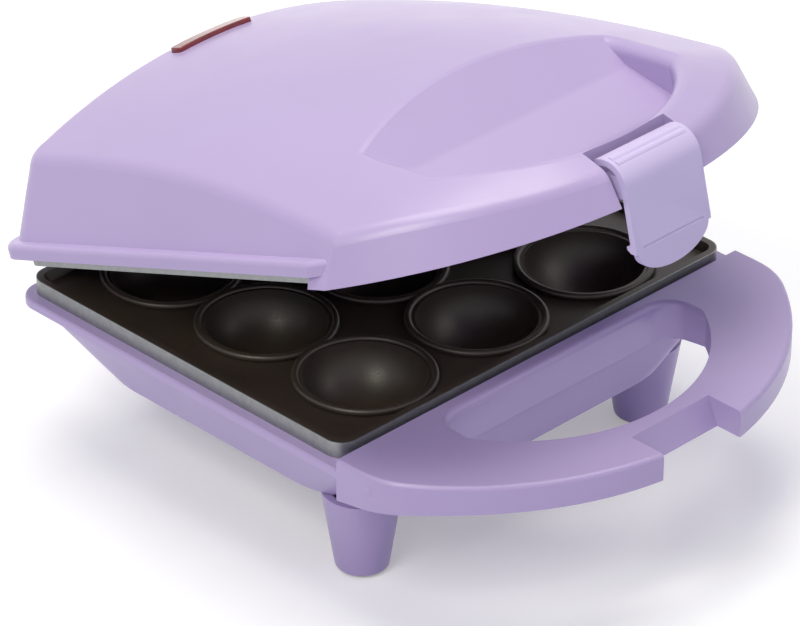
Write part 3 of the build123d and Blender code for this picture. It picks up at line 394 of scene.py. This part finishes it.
# ------------------------------------------------------------------ mesh helpers
def copy_of(node, name):
    """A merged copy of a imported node, with its flat faces whole, to be shaped further."""
    piece = NODES[node].copy()
    piece.data = NODES[node].data.copy()
    piece.name = name
    piece.parent = None
    for key in [k for k in piece.keys() if k.startswith("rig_")]:
        del piece[key]
    bpy.context.scene.collection.objects.link(piece)
    hold(piece)
    bpy.ops.object.mode_set(mode="EDIT")
    bpy.ops.mesh.select_all(action="SELECT")
    bpy.ops.mesh.remove_doubles(threshold=WELD)
    bpy.ops.mesh.dissolve_limited(angle_limit=FLAT)
    bpy.ops.object.mode_set(mode="OBJECT")
    return piece


def pick(piece, wanted):
    """In edit mode, select the vertices for which wanted(place) is true."""
    bpy.ops.object.mode_set(mode="EDIT")
    bpy.ops.mesh.select_mode(type="VERT")
    bpy.ops.mesh.select_all(action="DESELECT")
    bpy.ops.object.mode_set(mode="OBJECT")
    for v in piece.data.vertices:
        v.select = wanted(v.co)
    bpy.ops.object.mode_set(mode="EDIT")


def apply_modifier(piece, kind, **settings):
    """Add a modifier with these settings and apply it."""
    hold(piece)
    m = piece.modifiers.new(kind.lower(), kind)
    for key, value in settings.items():
        setattr(m, key, value)
    bpy.ops.object.modifier_apply(modifier=m.name)


def settle(piece):
    """The piece's place goes into its mesh, and its object sits at the origin."""
    hold(piece)
    bpy.ops.object.transform_apply(location=True, rotation=True, scale=True)


def bar_across(radius, length, y, z, sides):
    """A round bar along X, for the latch."""
    let_go()
    bpy.ops.mesh.primitive_cylinder_add(
        vertices=sides, radius=radius, depth=length, rotation=(0, QUARTER, 0), location=(0, y, z))
    return bpy.context.object


def join_with(piece, tool, operation):
    """Cut the piece by another closed shape, or join the two, and throw that shape away."""
    settle(tool)
    apply_modifier(piece, "BOOLEAN", object=tool, operation=operation, solver="EXACT")
    bpy.data.objects.remove(tool)


def soften(piece, width):
    """Round all sharp edges and smooth the rest."""
    apply_modifier(piece, "BEVEL", width=width, segments=3, limit_method="ANGLE", angle_limit=SHARP,
                   miter_outer="MITER_ARC", harden_normals=False)
    hold(piece)
    bpy.ops.object.shade_smooth_by_angle(angle=SHARP)
    apply_modifier(piece, "WEIGHTED_NORMAL", keep_sharp=True)


# ------------------------------------------------------------------ operators
class CAKEPOP_OT_latch(bpy.types.Operator):
    """Shape the latch: two ribs over its top, a longer bent tongue under a crease, and soft edges"""

    bl_idname = "cakepop.latch"
    bl_label = "Latch"

    def execute(self, context):
        looks = context.scene.cakepop_finish
        latch = copy_of("latch", "latch_cover")
        # it is shaped upright, with its pin along X through the origin
        hung = Matrix.Translation(LATCH_PIN) @ Matrix.Rotation(LATCH_LEAN, 4, "X")
        latch.matrix_world = hung.inverted()
        settle(latch)
        reach = LATCH_R - RIB_SUNK
        for degrees in LATCH_RIBS:
            a = math.radians(degrees)
            rib = bar_across(
                RIB_R, 2 * (LATCH_HALF - RIB_R), -reach * math.cos(a), reach * math.sin(a), sides=32)
            join_with(latch, rib, "UNION")
        hold(latch)
        crease = Vector((0, -LATCH_R, -LATCH_CREASE))
        bpy.ops.object.mode_set(mode="EDIT")
        bpy.ops.mesh.select_all(action="SELECT")
        bpy.ops.mesh.bisect(plane_co=crease, plane_no=(0, 0, 1))
        pick(latch, lambda co: co.z < crease.z - WELD)
        bpy.ops.transform.resize(value=(1, 1, looks.tongue_stretch), center_override=crease)
        bpy.ops.transform.rotate(value=looks.tongue_bend, orient_axis="X", center_override=crease)
        bpy.ops.object.mode_set(mode="OBJECT")
        soften(latch, LATCH_EDGE)
        # the crease is a fine groove across the face
        groove = bar_across(
            GROOVE_R, 2 * LATCH_HALF - 2 * GROOVE_MARGIN, -LATCH_R - GROOVE_OUT, -LATCH_CREASE, sides=24)
        join_with(latch, groove, "DIFFERENCE")
        latch.matrix_world = hung
        settle(latch)
        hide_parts("latch")
        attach(latch, NODES["latch"]["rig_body"])
        latch.data.materials.clear()
        latch.data.materials.append(bpy.data.materials["lilac_plastic"])
        return {"FINISHED"}


class CAKEPOP_OT_housings(bpy.types.Operator):
    """Finish the lilac lower housing and the lid"""

    bl_idname = "cakepop.housings"
    bl_label = "Housings"

    def execute(self, context):
        looks = context.scene.cakepop_finish
        plastic = moulded_plastic("lilac_plastic", looks.plastic, looks.plastic_rough)
        for node in ("lower_housing", "upper_housing"):
            finish_node(node, plastic)
        return {"FINISHED"}


class CAKEPOP_OT_plates(bpy.types.Operator):
    """Finish the two baking plates"""

    bl_idname = "cakepop.plates"
    bl_label = "Baking plates"

    def execute(self, context):
        looks = context.scene.cakepop_finish
        low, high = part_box("lower_plate")
        half = ((high.x - low.x) / 2, (high.y - low.y) / 2)
        middle = Vector(((high.x + low.x) / 2, (high.y + low.y) / 2, 0))
        for node, turn in (("lower_plate", None), ("upper_plate", LID_ANGLE)):
            finish_node(node, plate_coat(
                node + "_coat", looks.nonstick, looks.aluminium, half, middle, turn))
        return {"FINISHED"}


class CAKEPOP_OT_window(bpy.types.Operator):
    """Raise and round the indicator's window, and finish it, its lamp and the holder"""

    bl_idname = "cakepop.window"
    bl_label = "Indicator window"

    def execute(self, context):
        looks = context.scene.cakepop_finish
        window = copy_of("indicator_lens", "red_window")
        up = Matrix.Rotation(-LID_ANGLE, 3, "X") @ Vector((0, 0, looks.window_proud))
        shut = Matrix.Rotation(LID_ANGLE, 3, "X")
        tops = [(shut @ v.co).z for v in window.data.vertices]
        pick(window, lambda co: (shut @ co).z > (min(tops) + max(tops)) / 2)
        bpy.ops.transform.translate(value=up)
        bpy.ops.object.mode_set(mode="OBJECT")
        soften(window, WINDOW_EDGE)
        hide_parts("indicator_lens")
        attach(window, NODES["indicator_lens"]["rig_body"])
        window.data.materials.clear()
        window.data.materials.append(tinted_window("red_plastic", looks.window))
        finish_node("neon_lamp", tinted_window("lamp_glass", LAMP_GLASS))
        finish_node("lamp_holder", moulded_plastic("white_plastic", HOLDER_WHITE, rough=0.45))
        return {"FINISHED"}


class CAKEPOP_OT_heaters(bpy.types.Operator):
    """Finish the heating elements, their clips, the reflectors, the screws, the pins and the controls"""

    bl_idname = "cakepop.heaters"
    bl_label = "Heaters and fixings"

    def execute(self, context):
        looks = context.scene.cakepop_finish
        sheath = plain_metal("element_sheath", SHEATH_GREY, rough=0.45)
        steel = plain_metal("bare_steel", STEEL_GREY, rough=0.34, stretch=(1, 6, 6))
        pan = plain_metal("pan_aluminium", looks.aluminium, rough=0.4, stretch=(1, 8, 1))
        for node in ("lower_heating_element", "upper_heating_element"):
            finish_node(node, sheath)
        for node in ("lower_element_clips", "upper_element_clips", "lower_plate_screws",
                     "upper_plate_screws", "hinge_pins", "latch_pin", "thermostat", "thermal_fuse"):
            finish_node(node, steel)
        for node in ("lower_reflector", "upper_reflector"):
            finish_node(node, pan)
        return {"FINISHED"}


class CAKEPOP_OT_fittings(bpy.types.Operator):
    """Finish the feet, the gland and the leads"""

    bl_idname = "cakepop.fittings"
    bl_label = "Feet, gland and leads"

    def execute(self, context):
        rubber = moulded_plastic("rubber", RUBBER_BLACK, rough=0.6, grain=0.12 * MM, coat=0.0)
        sleeve = moulded_plastic("lead_sleeve", SLEEVE_CREAM, rough=0.55, grain=0.08 * MM, coat=0.0)
        for node in ("foot_pads", "cord_gland"):
            finish_node(node, rubber)
        for node in ("lower_wiring", "upper_wiring"):
            finish_node(node, sleeve)
        return {"FINISHED"}


class CAKEPOP_OT_stage(bpy.types.Operator):
    """Set the floor, the lamps, the room light and the camera"""

    bl_idname = "cakepop.stage"
    bl_label = "Stage"

    def execute(self, context):
        stage = context.scene.cakepop_stage
        let_go()
        bpy.ops.mesh.primitive_plane_add(size=stage.floor_size, location=(0, 0, 0))
        floor = context.object
        floor.name = "floor"
        material, nodes, link, shader = new_material("floor_paper")
        at = place(nodes, link)
        clouds = spread(nodes, link, noise(nodes, link, at, scale=30, detail=3), 0, 1)
        link(between(nodes, link, clouds, *FLOOR_TONES), shader.inputs["Base Color"])
        shader.inputs["Roughness"].default_value = FLOOR_ROUGH
        # near the piece the floor keeps its shadows, and far off it is as white as the backdrop
        away = combine(nodes, link, "VectorMath", "LENGTH", at)
        share = spread(nodes, link, away, GLOW_NEAR, GLOW_FAR, NEAR, FAR_OFF)
        glow = nodes.new("ShaderNodeEmission")
        glow.inputs["Color"].default_value = (*GLOW_TINT, 1)
        link(combine(nodes, link, "Math", "MULTIPLY", seen_itself(nodes, link), share),
             glow.inputs["Strength"])
        both = nodes.new("ShaderNodeAddShader")
        link(shader.outputs[0], both.inputs[0])
        link(glow.outputs[0], both.inputs[1])
        link(both.outputs[0], nodes["Material Output"].inputs["Surface"])
        floor.data.materials.append(material)

        world = bpy.data.worlds.new("room")
        context.scene.world = world
        world.use_nodes = True
        nodes, link = world.node_tree.nodes, world.node_tree.links.new
        seen = seen_itself(nodes, link)
        back = nodes["Background"]
        link(between(nodes, link, seen, ROOM_TINT, WHITE), back.inputs["Color"])
        link(spread(nodes, link, seen, stage.world, 1.0, 0.0, 1.0), back.inputs["Strength"])

        for name, (side, at) in LAMPS.items():
            bpy.ops.object.light_add(type="AREA", location=at)
            lamp = context.object
            lamp.name = name + "_lamp"
            lamp.data.energy = getattr(stage, name + "_power")
            lamp.data.color = LAMP_TINT
            lamp.data.shape = "SQUARE"
            lamp.data.size = side
            lamp.rotation_euler = (OBJECT_MIDDLE - Vector(at)).to_track_quat("-Z", "Y").to_euler()

        bpy.ops.object.camera_add(location=CAMERA_AT)
        camera = context.object
        camera.name = "camera"
        turn = Matrix((CAMERA_RIGHT, CAMERA_UP, -CAMERA_FORWARD)).transposed()
        camera.rotation_euler = turn.to_euler()
        camera.data.sensor_width = SENSOR_MM
        camera.data.lens = LENS_MM
        camera.data.clip_end = CAMERA_SIGHT
        context.scene.camera = camera
        context.scene.view_settings.view_transform = "Standard"
        return {"FINISHED"}


class CAKEPOP_PT_panel(bpy.types.Panel):
    """The cake pop maker's steps"""

    bl_idname = "CAKEPOP_PT_panel"
    bl_label = "Cake pop maker"
    bl_space_type = "VIEW_3D"
    bl_region_type = "UI"
    bl_category = "Cake pop maker"

    def draw(self, context):
        column = self.layout.column()
        for group in (context.scene.cakepop_finish, context.scene.cakepop_stage):
            for name in group.__annotations__:
                column.prop(group, name)
        for step in STEPS:
            column.operator(step.bl_idname)


STEPS = (CAKEPOP_OT_stage, CAKEPOP_OT_housings, CAKEPOP_OT_latch, CAKEPOP_OT_plates, CAKEPOP_OT_window,
         CAKEPOP_OT_heaters, CAKEPOP_OT_fittings)
CLASSES = (CakePopFinish, CakePopStage, *STEPS, CAKEPOP_PT_panel)


def register():
    for c in CLASSES:
        bpy.utils.register_class(c)
    bpy.types.Scene.cakepop_finish = bpy.props.PointerProperty(type=CakePopFinish)
    bpy.types.Scene.cakepop_stage = bpy.props.PointerProperty(type=CakePopStage)


def unregister():
    del bpy.types.Scene.cakepop_finish
    del bpy.types.Scene.cakepop_stage
    for c in reversed(CLASSES):
        bpy.utils.unregister_class(c)


def main():
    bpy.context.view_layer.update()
    register()
    for step in STEPS:
        group, name = step.bl_idname.split(".")
        getattr(getattr(bpy.ops, group), name)()


if __name__ == "__main__":
    main()
